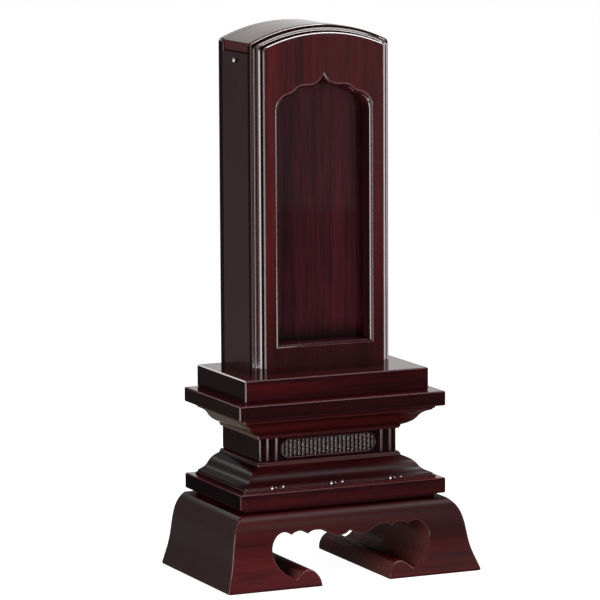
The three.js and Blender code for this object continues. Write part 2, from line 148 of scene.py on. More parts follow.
def grown(outline, distance, mitre_limit=0.6):
    """A closed outline moved outward by distance. The limit keeps sharp corners short."""
    area = sum(a.x * b.y - b.x * a.y for a, b in zip(outline, outline[1:] + outline[:1]))
    turn = 1 if area > 0 else -1
    out = []
    for i, p in enumerate(outline):
        before = (p - outline[i - 1]).normalized()
        after = (outline[(i + 1) % len(outline)] - p).normalized()
        n1 = Vector((before.y, -before.x)) * turn
        n2 = Vector((after.y, -after.x)) * turn
        middle = n1 + n2
        middle = middle.normalized() if middle.length > 1e-6 else n1
        out.append(p + middle * distance / max(middle.dot(n1), mitre_limit))
    return out


# The flare: the share of its reach and of the foot's height, from the floor up
flare_curve = bezier_chain([
    (1, 0, 0.82, 0.19, 0.696, 0.282, 0.619, 0.453),
    (0.619, 0.453, 0.494, 0.732, 0.451, 0.896, 0, 1),
], 26)
foot_side_flare = foot_high.x - foot_top_half
foot_front_flare = foot_top_front - foot_low.y


def foot_front(z):
    """Where the foot's front face stands at height z."""
    rise = min(max(z / foot_height, 0), 1)
    for a, b in zip(flare_curve, flare_curve[1:]):
        if a.y <= rise <= b.y:
            share = a.x + (b.x - a.x) * (rise - a.y) / max(b.y - a.y, 1e-9)
            return foot_top_front - share * foot_front_flare
    return foot_top_front


foot_rings = []
for i in range(base_steps + 1):
    a = math.radians(90 * i / base_steps)
    inset = foot_base_round * (1 - math.sin(a))
    z = foot_base_round * (1 - math.cos(a))
    front = foot_front(z)
    half = foot_top_half + (foot_top_front - front) / foot_front_flare * foot_side_flare
    foot_rings.append(
        plan_ring(half - inset, front + inset, foot_high.y - 0.5 * inset, z, foot_corner))
for p in flare_curve:
    if p.y * foot_height > foot_base_round + 0.05 * mm:
        foot_rings.append(plan_ring(
            foot_top_half + p.x * foot_side_flare,
            foot_top_front - p.x * foot_front_flare,
            foot_high.y, p.y * foot_height, foot_corner))
foot = loft("foot_shown", foot_rings)


def tunnel_outline():
    """The cusped cut seen from the front, from its point round to the gap between the toes."""
    h, w = tunnel_point, tunnel_half_width
    half = bezier_chain([
        (0, h, 1.0, h - 1.1, 2.0, h - 1.35, 3.7, h - 1.35),
        (3.7, h - 1.35, 6.2, h - 1.2, 6.6, h + 0.55, 9.3, h + 0.6),
        (9.3, h + 0.6, 10.6, h + 0.6, 11.4, h + 0.4, 12.1, h - 0.2),
        (12.1, h - 0.2, 12.8, h + 0.45, 13.6, h + 0.75, 14.5, h + 0.7),
        (14.5, h + 0.7, 15.4, h + 0.6, 16.2, h + 0.4, 16.75, h - 0.1),
        (16.75, h - 0.1, 18.2, h + 1.05, 19.8, h + 0.9, 21.0, h - 0.2),
        (21.0, h - 0.2, 22.1, h - 1.2, w, h - 2.6, w, h - 3.7),
        (w, h - 3.7, w, 6.2, 19.7, 3.1, 16.8, 2.4),
        (16.8, 2.4, 15.8, 3.2, 14.8, 4.5, 13.0, 4.5),
        (13.0, 4.5, 11.2, 4.5, 9.4, 2.2, 9.8, 0),
    ], 8)
    half.append(Vector((9.8, -3)))
    return [p * mm for p in mirrored(half)]


# The softened edges: how far out and how far behind the face, in parts of tunnel_edge
front_edge = ((1.0, -1.6), (1.0, 0.0), (0.62, 0.08), (0.29, 0.29), (0.08, 0.62), (0.0, 1.0))
back_edge = ((0.0, 1.0), (0.29, 0.29), (1.0, 0.0), (1.0, -3.0))
tunnel = tunnel_outline()
tunnel_rings = []
for out, depth in front_edge:
    tunnel_rings.append([Vector((p.x, foot_front(p.y) + depth * tunnel_edge, p.y))
                         for p in grown(tunnel, out * tunnel_edge)])
for out, depth in back_edge:
    tunnel_rings.append([Vector((p.x, foot_high.y - depth * tunnel_edge, p.y))
                         for p in grown(tunnel, out * tunnel_edge)])
combine(foot, loft("tunnel", tunnel_rings))
smooth(foot)


def new_material(name):
    """A new material, its tree and its surface."""
    material = bpy.data.materials.new(name)
    material.use_nodes = True
    return material, material.node_tree, material.node_tree.nodes["Principled BSDF"]


def feed(tree, node, values):
    """Puts constants on a node's sockets, or links them where the value is another's output."""
    for socket, value in values.items():
        if isinstance(value, bpy.types.NodeSocket):
            tree.links.new(value, node.inputs[socket])
        else:
            node.inputs[socket].default_value = value
    return node


def add_node(tree, kind, values, operation=None):
    node = tree.nodes.new(kind)
    if operation:
        node.operation = operation
    return feed(tree, node, values)


def object_place(tree):
    return tree.nodes.new("ShaderNodeTexCoord").outputs["Object"]


def grain_noise(tree, place, grain, across, lengthwise, shift, detail, roughness=0.5):
    """Noise drawn out along the fibres. grain is their axis."""
    scale = [across] * 3
    scale["XYZ".index(grain)] = lengthwise
    mapping = add_node(
        tree, "ShaderNodeMapping", {"Vector": place, "Scale": scale, "Location": shift})
    noise = add_node(tree, "ShaderNodeTexNoise", {
        "Vector": mapping.outputs["Vector"], "Scale": 1.0, "Detail": detail,
        "Roughness": roughness})
    return noise.outputs["Fac"]


def two_tone(tree, share, dark_at, dark, light_at, light):
    """Runs from dark to light as share rises from dark_at to light_at."""
    ramp = add_node(tree, "ShaderNodeValToRGB", {"Fac": share})
    low_end, high_end = ramp.color_ramp.elements
    low_end.position, high_end.position = dark_at, light_at
    low_end.color, high_end.color = (*dark, 1), (*light, 1)
    return ramp.outputs["Color"]


def open_pores(tree, height, strength, depth):
    """The pores as a slight relief."""
    bump = add_node(
        tree, "ShaderNodeBump", {"Strength": strength, "Distance": depth, "Height": height})
    return bump.outputs["Normal"]


def rosewood(name, grain, seed, light=(0.0593, 0.0038, 0.0049), dark=(0.0218, 0.0018, 0.0025),
             figure=0.4, streak=340, roughness=0.55, coat=0.1, coat_roughness=0.06, coat_ior=1.5,
             painted_shade=()):
    """Red-brown rosewood under clear lacquer.

    Figure is how strongly the bands show, and streak how close they stand. Each entry of
    painted_shade holds an axis, two places along it and the share of colour left at the first,
    where the colour is darkened as painted shade standing in for shadow and light falling off.
    """
    material, tree, shader = new_material(name)
    place = object_place(tree)
    shift = (seed * 1.7, seed * 2.3, seed * 3.1)
    bands = grain_noise(tree, place, grain, streak, streak * 0.03, shift, 3.0, 0.6)
    pores = grain_noise(tree, place, grain, streak * 6, streak * 0.22, shift, 4.0, 0.65)
    mixed = add_node(tree, "ShaderNodeMix", {"Factor": 0.42, "A": bands, "B": pores})
    spread = 0.5 / max(figure, 0.05)
    colour = two_tone(
        tree, mixed.outputs["Result"], 0.5 - 0.16 * spread, dark, 0.5 + 0.13 * spread, light)
    # Painted shade: each entry darkens the colour along an axis, standing in for shadow and light
    # falling off.
    for axis, start, stop, share in painted_shade:
        position = add_node(tree, "ShaderNodeSeparateXYZ", {"Vector": place}).outputs[axis]
        fade = add_node(tree, "ShaderNodeMapRange", {
            "Value": position, "From Min": start, "From Max": stop,
            "To Min": share, "To Max": 1.0})
        fade.interpolation_type = "SMOOTHSTEP"
        darker = add_node(tree, "ShaderNodeVectorMath", {
            "Vector": colour, "Scale": fade.outputs["Result"]}, "SCALE")
        colour = darker.outputs["Vector"]
    feed(tree, shader, {
        "Base Color": colour, "Normal": open_pores(tree, pores, 0.03, 0.02 * mm),
        "Roughness": roughness, "Specular IOR Level": 0.0,
        "Coat Weight": coat, "Coat Roughness": coat_roughness, "Coat IOR": coat_ior})
    return material


def place_piece(piece, body, node, material):
    """Gives the piece its finish, and lets it stand for its CAD node."""
    piece.data.materials.clear()
    piece.data.materials.append(material)
    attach(piece, body)
    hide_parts(node)


def finish_faces(piece, material, test):
    """Gives the faces that pass the test a finish of their own."""
    finishes = piece.data.materials
    if finishes.find(material.name) < 0:
        finishes.append(material)
    index = finishes.find(material.name)
    for face in piece.data.polygons:
        if test(face):
            face.material_index = index


# End grain drinks the lacquer and stays dark, and the same dark finish paints shade on side faces
# that are not end grain. Tops are rubbed to a mirror, and so are the arrises.
end_grain_and_side_shade = rosewood("end_grain_and_side_shade", "Y", 31, light=(0.0075, 0.0018, 0.0025),
                     dark=(0.0025, 0.0007, 0.0009), figure=0.3, streak=900, coat=0.04,
                     coat_roughness=0.12)
rubbed_top = rosewood("rubbed_top", "X", 32, light=(0.0312, 0.0031, 0.0044),
                      dark=(0.0125, 0.0018, 0.0025), coat=0.8, coat_roughness=0.04)
arris_tone = {"light": (0.0374, 0.0044, 0.0056), "dark": (0.0187, 0.0025, 0.0031)}
thick_lacquer = 1.7
arris = rosewood("arris", "X", 33, **arris_tone, coat=0.28, coat_roughness=0.08,
                 coat_ior=thick_lacquer)
long_arris = rosewood("long_arris", "X", 37, light=(0.0437, 0.0056, 0.0069),
                      dark=(0.025, 0.0031, 0.0044), coat=0.055, coat_roughness=0.12,
                      coat_ior=thick_lacquer)


def on_end(face):
    return abs(face.normal.x) > 0.8


def on_top(face):
    return face.normal.z > 0.97


def on_arris(face):
    return max(abs(n) for n in face.normal) < 0.985


def on_upright_arris(face):
    return abs(face.normal.x) > 0.25 and abs(face.normal.y) > 0.25


def finish_board(piece):
    """End grain, rubbed top, dull long arrises and bright upright ones for a board."""
    finish_faces(piece, end_grain_and_side_shade, on_end)
    finish_faces(piece, rubbed_top, on_top)
    finish_faces(piece, long_arris, on_arris)
    finish_faces(piece, arris, on_upright_arris)


# Painted shade: the foot's wood darkens toward the right and toward its top, so that its lower
# left looks lit.
foot_wood = rosewood(
    "foot_wood", "X", 1, light=(0.066, 0.0054, 0.006), dark=(0.0195, 0.0023, 0.0028), figure=0.55,
    coat=0.11, coat_roughness=0.3, painted_shade=[("X", 0.036, -0.034, 0.5), ("Z", 0.021, 0.002, 0.4)])
foot_end = rosewood(
    "foot_end", "Z", 36, light=(0.0149, 0.0049, 0.0049), dark=(0.0087, 0.0025, 0.0031),
    figure=0.25, streak=500, coat=0.11, coat_roughness=0.2)
tunnel_wood = rosewood(
    "tunnel_wood", "X", 35, light=(0.078, 0.021, 0.0185), dark=(0.026, 0.0078, 0.0072),
    figure=0.35, streak=700, roughness=0.7, coat=0.06, coat_roughness=0.3)
eased_area = 0.16 * mm * mm
foot_side = 29 * mm


def on_foot_side(face):
    outward = math.copysign(1, face.center.x) * face.normal.x
    return outward > 0.5 and abs(face.center.x) > foot_side


def on_tunnel_rim(face):
    beside = abs(face.center.x) < tunnel_half_width * mm + 1 * mm
    return (face.area < eased_area and beside and face.center.z < tunnel_ceiling
            and abs(face.normal.y) > 0.25)


def in_tunnel(face):
    """True for the faces that the cusped cut has left."""
    inside = abs(face.center.x) < tunnel_half_width * mm + tunnel_edge
    return (inside and abs(face.normal.y) < 0.25 and face.normal.z < 0.9
            and face.center.z < tunnel_ceiling)


place_piece(foot, "stand_and_case", "foot", foot_wood)
finish_faces(foot, foot_end, on_foot_side)
finish_faces(foot, long_arris, lambda f: f.area < eased_area)
finish_faces(foot, arris, lambda f: on_upright_arris(f) and abs(f.center.x) > foot_side - 1 * mm)
finish_faces(foot, arris, on_tunnel_rim)
finish_faces(foot, tunnel_wood, in_tunnel)

# Neck board: a thin board set back between the foot and the lower slab, so that a dark line shows.
# It is plain planed stock of the same wood, lacquered with the rest.
# The slabs' wood colours, and a painted shade that darkens them toward the right, as if lit from
# the left.
slab_tone_and_shade = {"light": (0.033, 0.0024, 0.0034), "dark": (0.0055, 0.0009, 0.0013), "figure": 0.6,
             "painted_shade": [("X", 0.03, -0.03, 0.7)]}
neck_arris = 0.2 * mm


def board_rings(low, high, arris):
    """Rings for a board with chamfered arrises between two corners of its box."""
    rings = []
    for z, inset in ((low.z, arris), (low.z + arris, 0), (high.z - arris, 0), (high.z, arris)):
        rings.append(plan_ring(high.x - inset, low.y + inset, high.y - inset, z,
                               max(arris - inset, 0.1 * arris), 1))
    return rings


low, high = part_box("neck_board")
neck = smooth(loft("neck_board_shown", board_rings(low, high, neck_arris)))
place_piece(neck, "stand_and_case", "neck_board", rosewood("neck_wood", "X", 2, **slab_tone_and_shade))

# Lower slab: a board with eased arrises and a low raised step, on which the moulding sits.
# Slab and step are planed from one board.
low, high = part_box("lower_slab")
step_half, step_front, step_back = 27.75 * mm, -13.125 * mm, 19.525 * mm
step_arris, step_corner = 0.15 * mm, 0.4 * mm
lower_slab_top = 24.3 * mm
slab_arris = 0.28 * mm
# The small hollow in which the step rises: how far out and how far up, in millimetres
step_hollow = ((0.25, 0), (0.07, 0.07), (0, 0.25))


def stepped_rings(low, high, slab_z, step_z):
    """Rings for a slab from its far face to slab_z, then its step to step_z, up or down."""
    sign = 1 if step_z > slab_z else -1
    rings = []
    for z, way in ((low.z if sign > 0 else high.z, 1), (slab_z, -1)):
        eased = plan_ring(high.x - slab_arris, low.y + slab_arris, high.y - slab_arris, z,
                          0.1 * slab_arris, 1)
        full = plan_ring(high.x, low.y, high.y, z + sign * way * slab_arris, slab_arris, 1)
        rings += [eased, full] if way > 0 else [full, eased]
    edges = [(out * mm, slab_z + sign * rise * mm) for out, rise in step_hollow]
    edges += [(0, step_z - sign * step_arris), (-step_arris, step_z)]
    for out, z in edges:
        rings.append(
            plan_ring(step_half + out, step_front - out, step_back + out, z, step_corner, 1))
    return rings


lower_slab = smooth(loft("lower_slab_shown", stepped_rings(low, high, lower_slab_top, high.z)))
place_piece(lower_slab, "stand_and_case", "lower_slab",
            rosewood("lower_slab_wood", "X", 3, **slab_tone_and_shade, coat=0.07))
finish_board(lower_slab)
# Painted shade: the lower slab's ends take a darker copy of the end-grain finish.
shaded_lower_end = rosewood("shaded_lower_end", "Y", 44, light=(0.003, 0.0008, 0.0011),
                    dark=(0.001, 0.0003, 0.0004), streak=900, coat=0.02)
finish_faces(lower_slab, shaded_lower_end, on_end)

# Lower moulding: a board whose front and sides are run to a cyma, hollow below and round above.
# A small fillet closes it against the waist. Its back is flat.
waist_half, waist_front, waist_back = 19.8 * mm, -5.175 * mm, 19.525 * mm
cyma_height, cyma_corner = 5.6, 0.5 * mm
# Reach from the waist and rise, in millimetres
cyma = [Vector((7.4, 0))] + bezier_chain([
    (7.4, 0.4, 6.1, 0.8, 5.1, 1.35, 4.55, 2.2),
    (4.55, 2.2, 3.9, 3.25, 3.1, 3.95, 1.05, 4.7),
], 16) + [Vector(p) for p in (
    (1.05, 4.76), (1.0, 4.84), (1.0, 5.2), (0.92, 5.27), (0.75, 5.3), (0.75, cyma_height))]


def cyma_rings(z, height, upward):
    rings = []
    for p in cyma:
        rise = p.y / cyma_height * height
        reach = p.x * mm
        rings.append(plan_ring(waist_half + reach, waist_front - reach, waist_back,
                               z + (rise if upward else height - rise), cyma_corner))
    return rings


def on_mitre(face):
    return abs(face.normal.x) > 0.2 and abs(face.normal.y) > 0.2


def on_side_cyma(face):
    return abs(face.normal.x) > 0.3


low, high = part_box("lower_moulding")
lower_moulding = smooth(
    loft("lower_moulding_shown", cyma_rings(low.z, high.z - low.z, True)), 28)
place_piece(lower_moulding, "stand_and_case", "lower_moulding",
            rosewood("lower_moulding_wood", "X", 4, **slab_tone_and_shade, coat=0.36, coat_roughness=0.33))
moulding_end = rosewood("moulding_end", "Y", 40, light=(0.0104, 0.0026, 0.0033),
                        dark=(0.0039, 0.001, 0.0013), figure=0.3, streak=900, coat=0.11,
                        coat_roughness=0.2)
finish_faces(lower_moulding, moulding_end, on_side_cyma)
finish_faces(lower_moulding, arris, on_mitre)

# Three sprigs of chisel cuts are set along the front, where the moulding meets the slab's step.
# Each is a comma with a tail, a slanting nick and an upright leaf. Their flat beds are lacquered
# to a shine.
sprig_places, sprig_reach = (-18.15, -1.15, 16.0), 3
# For each cut: place along the front and up the slope, half width, half length and lean
comma, tail = (-1.3, 0.0, 0.34, 0.78, 30), (-2.0, -0.5, 0.18, 0.55, 90)
dot = (-1.1, -0.75, 0.16, 0.4, 90)
nick, leaf = (0.0, 0.1, 0.34, 0.72, -50), (1.95, 0.0, 0.44, 0.8, 18)
cut_sides, cut_depth = 16, 2 * mm
bed_middle = Vector((0, -12.34 * mm, 25.0 * mm))
bed_normal = Vector((0, -0.974, 1.026)).normalized()
bed_upward = Vector((0, 1.026, 0.974)).normalized()
cut_finish = rosewood("cut_finish", "X", 38, light=(0.025, 0.0031, 0.0038),
                      dark=(0.0125, 0.0018, 0.0025), coat=1.0, coat_roughness=0.08,
                      coat_ior=thick_lacquer)


def chisel_tool(cuts):
    """Leaf-shaped prisms that stand on the beds of the cuts."""
    bm = bmesh.new()
    for place in sprig_places:
        for along, up, half_width, half_length, lean in cuts:
            turn = math.radians(lean)
            bed, top = [], []
            for i in range(cut_sides):
                a = 2 * math.pi * i / cut_sides
                wide = half_width * math.sin(a) * abs(math.sin(a)) ** 0.4
                tall = half_length * math.cos(a)
                x = place + along + wide * math.cos(turn) + tall * math.sin(turn)
                rise = up - wide * math.sin(turn) + tall * math.cos(turn)
                point = bed_middle + Vector((x * mm, 0, 0)) + bed_upward * rise * mm
                bed.append(bm.verts.new(point))
                top.append(bm.verts.new(point + bed_normal * cut_depth))
            join_rings(bm, bed, top)
            bm.faces.new(bed)
            bm.faces.new(top)
    return from_bmesh("chisel", bm)


def on_bed(face):
    """True for the flat bed of a cut, by its place and by its distance from the beds' plane."""
    x, y, z = (c / mm for c in face.center)
    near = min(abs(x - place) for place in sprig_places) < sprig_reach
    height = (Vector(face.center) - bed_middle).dot(bed_normal)
    level = abs(height) < 0.02 * mm and Vector(face.normal).dot(bed_normal) > 0.995
    return near and y < -11.6 and 24.2 < z < 26 and level


for piece in (lower_moulding, lower_slab):
    for cuts in ([comma], [tail, nick, leaf], [dot]):
        combine(piece, chisel_tool(cuts))
    smooth(piece, 13)
    finish_faces(piece, cut_finish, on_bed)

# Waist: the carved block of the pedestal. Two flutes stand at each end of its front, and between
# them a sunk panel with round ends holds a row of upright reeds, left from the knife.
low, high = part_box("waist_block")
waist_middle = (low.z + high.z) / 2
waist_arris = 0.3 * mm
panel_half, panel_height, panel_depth = 13.55 * mm, 4.45 * mm, 1.0 * mm
# How far out and how far behind the waist's front the panel's edge runs, in millimetres
panel_edge = ((0.25, -1.0), (0.25, 0.0), (0.08, 0.08), (0.0, 0.25), (-0.1, 1.5))
reed_pitch, reed_lift = 1.19 * mm, 0.7 * mm
reed_share = 0.32
reed_columns, reed_rows, reed_margin = 282, 26, 0.4 * mm
flute_half, flute_depth, flute_lip, flute_steps = 0.42 * mm, 0.42 * mm, 0.12 * mm, 10
flute_places = (2.0 * mm, 4.55 * mm)
waist = loft("waist_shown", board_rings(low, high, waist_arris))


def stadium(half, height, steps=10):
    """A panel's outline with round ends."""
    radius = height / 2
    points = []
    for side, start in ((1, -90), (-1, 90)):
        for i in range(steps + 1):
            a = math.radians(start + 180 * i / steps)
            points.append(Vector((side * (half - radius) + radius * math.cos(a),
                                  waist_middle + radius * math.sin(a))))
    return points


def reed_surface(x, row):
    """How far behind the waist's front the knife has gone."""
    reed = math.floor(x / reed_pitch + 0.5)
    sway = (0.05 * mm * math.sin(row * 0.95 + reed * 2.1)
            + 0.02 * mm * math.sin(row * 2.2 + reed * 3.7))
    across = (x + sway - reed * reed_pitch) / (reed_pitch * reed_share)
    crest = math.sqrt(max(1 - across * across, 0))
    notch = 0.05 * mm * math.sin(row * 1.6 + reed * 1.9)
    return panel_depth - (reed_lift - notch) * crest


def reed_block():
    """A block whose back face carries the reeds. It stands out in front of the waist."""
    bm = bmesh.new()
    grid = []
    for r in range(reed_rows + 1):
        z = waist_middle + (-1 + 2 * r / reed_rows) * (panel_height / 2 + reed_margin)
        line = []
        for c in range(reed_columns + 1):
            x = (-1 + 2 * c / reed_columns) * (panel_half + reed_margin)
            line.append(bm.verts.new((x, waist_front + reed_surface(x, r), z)))
        grid.append(line)
    near_low, near_high = [
        [bm.verts.new((v.co.x, waist_front - 2 * mm, v.co.z)) for v in grid[r]]
        for r in (0, reed_rows)]
    for a, b in [*zip(grid, grid[1:]), (grid[0], near_low), (grid[-1], near_high),
                 (near_low, near_high)]:
        for c in range(reed_columns):
            bm.faces.new((a[c], a[c + 1], b[c + 1], b[c]))
    for c in (0, reed_columns):
        bm.faces.new([line[c] for line in grid] + [near_high[c], near_low[c]])
    return from_bmesh("reed_block", bm)


panel_rings = []
for out, y in panel_edge:
    panel_rings.append([Vector((p.x, waist_front + y * mm, p.y))
                        for p in grown(stadium(panel_half, panel_height), out * mm)])
panel = loft("panel", panel_rings)
combine(panel, reed_block(), "INTERSECT")
combine(waist, panel)


def flute_ring(middle, z):
    """The half round of a flute with softened lips, and its open side in front of the waist."""
    reach = flute_half + flute_lip
    ring = [Vector((middle - reach, waist_front - 0.5 * mm, z))]
    for i in range(flute_steps + 1):
        a = math.radians(180 * i / flute_steps)
        soft = flute_lip * (1 - math.sin(a)) ** 3
        ring.append(Vector((middle - (flute_half + soft) * math.cos(a),
                            waist_front + flute_depth * math.sin(a), z)))
    ring.append(Vector((middle + reach, waist_front - 0.5 * mm, z)))
    return ring


for place in flute_places:
    for side in (-1, 1):
        combine(waist, loft("flute", [flute_ring(side * (waist_half - place), z)
                                      for z in (low.z - 1 * mm, high.z + 1 * mm)]))
smooth(waist)
place_piece(waist, "stand_and_case", "waist_block",
            rosewood("waist_wood", "X", 5, light=(0.0058, 0.0012, 0.0017),
                     dark=(0.0018, 0.0005, 0.0006), figure=0.3, coat=0.03))
carved_edge = rosewood("carved_edge", "Z", 41, light=(0.0208, 0.0039, 0.0052),
                       dark=(0.0078, 0.0013, 0.002), figure=0.3, coat=0.5, coat_roughness=0.06,
                       coat_ior=thick_lacquer)


def on_reed(face):
    x, y, z = abs(face.center.x), face.center.y, abs(face.center.z - waist_middle)
    return (x < panel_half - 0.3 * mm and z < panel_height / 2 - 0.15 * mm
            and y > waist_front + 0.26 * mm)


finish_faces(waist, end_grain_and_side_shade, on_end)
finish_faces(waist, arris, on_arris)
finish_faces(waist, carved_edge, on_reed)

# Upper moulding and upper slab: the same cyma turned over carries a wide thin board.
# The board's underside has a low step that the moulding dies into.
low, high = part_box("upper_moulding")
upper_moulding = smooth(
    loft("upper_moulding_shown", cyma_rings(low.z, high.z - low.z, False)), 28)
place_piece(upper_moulding, "stand_and_case", "upper_moulding",
            rosewood("upper_moulding_wood", "X", 6, light=(0.042, 0.0046, 0.0052),
                     dark=(0.014, 0.002, 0.0024), figure=0.55, coat=0.1, coat_roughness=0.15))
golden_end = rosewood("golden_end", "Y", 45, light=(0.06, 0.036, 0.021),
                      dark=(0.034, 0.02, 0.012), figure=0.3, streak=900, coat=0.1)
finish_faces(upper_moulding, golden_end, on_side_cyma)
finish_faces(upper_moulding, arris, on_mitre)
low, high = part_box("upper_slab")
upper_step = 0.8 * mm
upper_slab = smooth(
    loft("upper_slab_shown", stepped_rings(low, high, low.z + upper_step, low.z)))
place_piece(upper_slab, "stand_and_case", "upper_slab",
            rosewood("upper_slab_wood", "X", 7, light=(0.015, 0.0018, 0.0024),
                     dark=(0.0032, 0.0006, 0.001), figure=0.34, coat=0.05))
finish_board(upper_slab)

# Seat slab: the thick board of rosewood that the box stands on.
# It is planed true, its arrises are eased, and its top is polished to a mirror.
low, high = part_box("seat_slab")
seat_slab = smooth(loft("seat_slab_shown", board_rings(low, high, slab_arris)))
place_piece(seat_slab, "stand_and_case", "seat_slab",
            rosewood("seat_slab_wood", "X", 8, **slab_tone_and_shade, coat=0.05))
finish_board(seat_slab)
seat_arris = rosewood("seat_arris", "Y", 48, **arris_tone, coat=0.55)
finish_faces(seat_slab, seat_arris, lambda f: f.normal.x < -0.5 and f.normal.z > 0.5)

# Side walls: two upright boards between the frame and the back board, each with a bore for its
# pin. A pocket inside, open at the top, takes the cleat that hangs under the roof.
wall_bore, wall_edge = 0.6 * mm, 0.12 * mm
wall_inside = 16.5 * mm
pocket_bottom, pocket_half, pocket_foot = 18.4 * mm, 5.9 * mm, 132.7 * mm
pin_low, pin_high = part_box("left_pin")
pin_y = (pin_low.y + pin_high.y) / 2
pin_z = (pin_low.z + pin_high.z) / 2


def pin_ring(x, radius):
    """A circle round the pins' axis."""
    turns = [math.radians(15 * i) for i in range(24)]
    return [Vector((x, pin_y + radius * math.cos(a), pin_z + radius * math.sin(a)))
            for a in turns]


def side_ring(x, front, back, bottom, top):
    """A rectangle seen from the side."""
    return [Vector((x, front, bottom)), Vector((x, back, bottom)),
            Vector((x, back, top)), Vector((x, front, top))]


for side, node in ((-1, "left_wall"), (1, "right_wall")):
    low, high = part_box(node)
    # The top edges are eased: distance in from each face, and drop
    eased = ((0, wall_edge), (0.3 * wall_edge, 0.3 * wall_edge), (wall_edge, 0))
    tops = [(low.x + step, drop) for step, drop in eased]
    tops += [(high.x - step, drop) for step, drop in reversed(eased)]
    wall = loft(node + "_shown", [side_ring(x, low.y, high.y, low.z, high.z - drop)
                                  for x, drop in tops])
    combine(wall, loft("bore", [pin_ring(x, wall_bore)
                                for x in (low.x - 1 * mm, high.x + 1 * mm)]))
    combine(wall, loft("pocket", [
        side_ring(x, pin_y - pocket_half, pin_y + pocket_half, pocket_foot, high.z + 1 * mm)
        for x in sorted((side * wall_inside, side * pocket_bottom))]))
    smooth(wall)
    place_piece(wall, "stand_and_case", node,
                rosewood(node + "_wood", "Z", 9 + side, light=(0.0198, 0.005, 0.005),
                         dark=(0.0122, 0.0028, 0.0028), figure=0.2, coat=0.13,
                         coat_roughness=0.15))

# Back board: one upright board of rosewood, sawn to the same arch as the frame.
# Its arrises are rounded, and it is glued to the walls' back edges.
arch_radius, box_corner = 44.5 * mm, 1.2 * mm
back_arris = 0.3 * mm
low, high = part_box("back_board")
box_z = low.z
arch_centre_z = high.z - arch_radius


def arc_down(radius, centre_z, end, steps):
    """Points along an arc, from its crown down on the right to the angle end."""
    points = [Vector((0, centre_z + radius))]
    for i in range(1, steps + 1):
        a = math.pi / 2 - i / steps * (math.pi / 2 - end)
        points.append(Vector((radius * math.cos(a), centre_z + radius * math.sin(a))))
    return points


def arch_outline(half_width, inset, arch_inset, corner, corner_steps=8):
    """A board's outline under the arch, drawn in by inset, and on the arch by arch_inset."""
    half = half_width - inset
    radius = arch_radius - arch_inset
    fillet_z = arch_centre_z + math.sqrt((radius - corner) ** 2 - (half - corner) ** 2)
    tangent = math.atan2(fillet_z - arch_centre_z, half - corner)
    right = arc_down(radius, arch_centre_z, tangent, 40)
    for i in range(1, corner_steps + 1):
        a = tangent * (1 - i / corner_steps)
        right.append(Vector((half - corner + corner * math.cos(a),
                             fillet_z + corner * math.sin(a))))
    right.append(Vector((half, box_z)))
    return mirrored(right)


def upright(outline, y):
    return [Vector((p.x, y, p.y)) for p in outline]


def eased_board(name, outline, low_y, high_y, arris, steps):
    """An upright board with rounded arrises. outline gives its shape, drawn in by an inset."""
    rings = []
    for y, sign in ((low_y, 1), (high_y, -1)):
        part = []
        for i in range(steps + 1):
            a = math.radians(90 * i / steps)
            shape = outline(arris * (1 - math.sin(a)))
            part.append(upright(shape, y + sign * arris * (1 - math.cos(a))))
        rings += part if sign > 0 else part[::-1]
    return smooth(loft(name, rings))


back_board = eased_board(
    "back_board_shown", lambda inset: arch_outline(high.x, inset, inset, box_corner - inset),
    low.y, high.y, back_arris, 4)
place_piece(back_board, "stand_and_case", "back_board",
            rosewood("back_wood", "Z", 11, light=(0.0998, 0.0075, 0.0094),
                     dark=(0.0374, 0.0038, 0.0044), figure=0.3))
# Painted shade: the board's side faces, which are not end grain, take the dark end-grain finish.
finish_faces(back_board, end_grain_and_side_shade, on_end)
finish_faces(back_board, arris, on_arris)
finish_faces(back_board, rubbed_top, lambda f: f.normal.z > 0.8)

# Front frame: a thick board with a stepped moulding run up the stiles and round the arch.
# The cusped window is cut through it, and its edge is rounded over.
low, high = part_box("front_frame")
frame_front = low.y
# Profiles, in millimetres: distance in from the edge, and back from the frame's front
frame_steps = (
    (0, 4.6), (0, 3.2), (0.04, 3.04), (0.12, 2.92), (0.25, 2.86), (0.42, 2.85), (0.55, 2.82),
    (0.6, 2.72), (0.6, 2.42), (0.64, 2.26), (0.74, 2.15), (0.88, 2.09), (1.05, 2.055),
    (1.45, 2.0), (1.75, 1.93), (1.98, 1.80), (2.28, 1.48), (2.42, 1.15), (2.45, 0.95),
    (2.45, 0.4), (2.49, 0.33), (2.78, 0.04), (2.85, 0))
window_steps = (
    (-0.04, 0), (0.0, 0.02), (0.03, 0.12), (0.1, 0.2), (0.25, 0.24), (0.42, 0.3), (0.6, 0.4),
    (0.76, 0.55), (0.87, 0.75), (0.93, 0.98), (0.94, 1.2), (0.94, 4.6))
chamfer_inset, arch_share = 2.45, 0.72
window_half, window_top, window_sill = 14.0, 132.05, 60.2


def window_outline(inset):
    half = window_half - inset
    top = window_top - inset
    k = half / window_half
    right = bezier_chain([
        (0, top, 0.9 * k, top - 1.35, 2.2 * k, top - 2.8, 4.0 * k, top - 2.85),
        (4.0 * k, top - 2.85, 6.0 * k, top - 2.9, 7.2 * k, top - 2.75, 8.4 * k, top - 3.9),
        (8.4 * k, top - 3.9, 9.6 * k, top - 5.1, 10.2 * k, top - 4.75, 11.4 * k, top - 5.3),
        (11.4 * k, top - 5.3, 12.8 * k, top - 6.0, half, top - 7.4, half, top - 9.4),
    ], 12)
    right.append(Vector((half, window_sill + inset)))
    return [p * mm for p in mirrored(right)]


def on_the_arch(inset):
    """The moulding is narrower on the arch than on the stiles, all but its last chamfer."""
    return arch_share * min(inset, chamfer_inset) + max(inset - chamfer_inset, 0)


